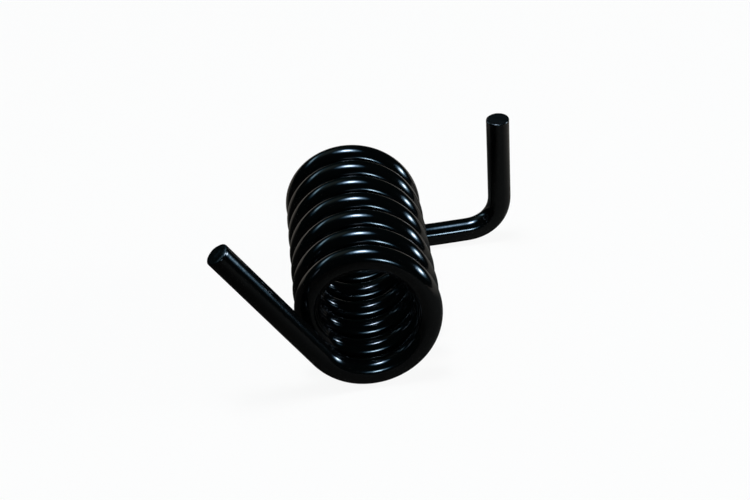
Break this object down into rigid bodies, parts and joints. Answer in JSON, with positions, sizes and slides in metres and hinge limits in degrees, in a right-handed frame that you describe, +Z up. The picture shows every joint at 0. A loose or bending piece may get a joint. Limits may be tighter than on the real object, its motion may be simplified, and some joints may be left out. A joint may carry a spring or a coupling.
{
  "type": "torsion spring",
  "caption": "Left-hand torsion spring of round wire with a glossy black coating: one straight tangential leg, and one long leg bent up square at its end.",
  "frame": {"origin": "on the coil axis, halfway along the coil's full turns", "axes": "+Y along the coil axis towards the far leg; +X the way the far leg runs out; +Z up, the way the upright end points. The spring lies as it rests, with the underside of its turns and of the far leg at z = -17.5 mm."},
  "size_m": [0.0787, 0.0691, 0.0411],
  "materials": {
    "black_coated_steel": "gloss"
  },
  "bodies": {
    "root": {"spring_wire": "black_coated_steel"}
  },
  "joints": []
}
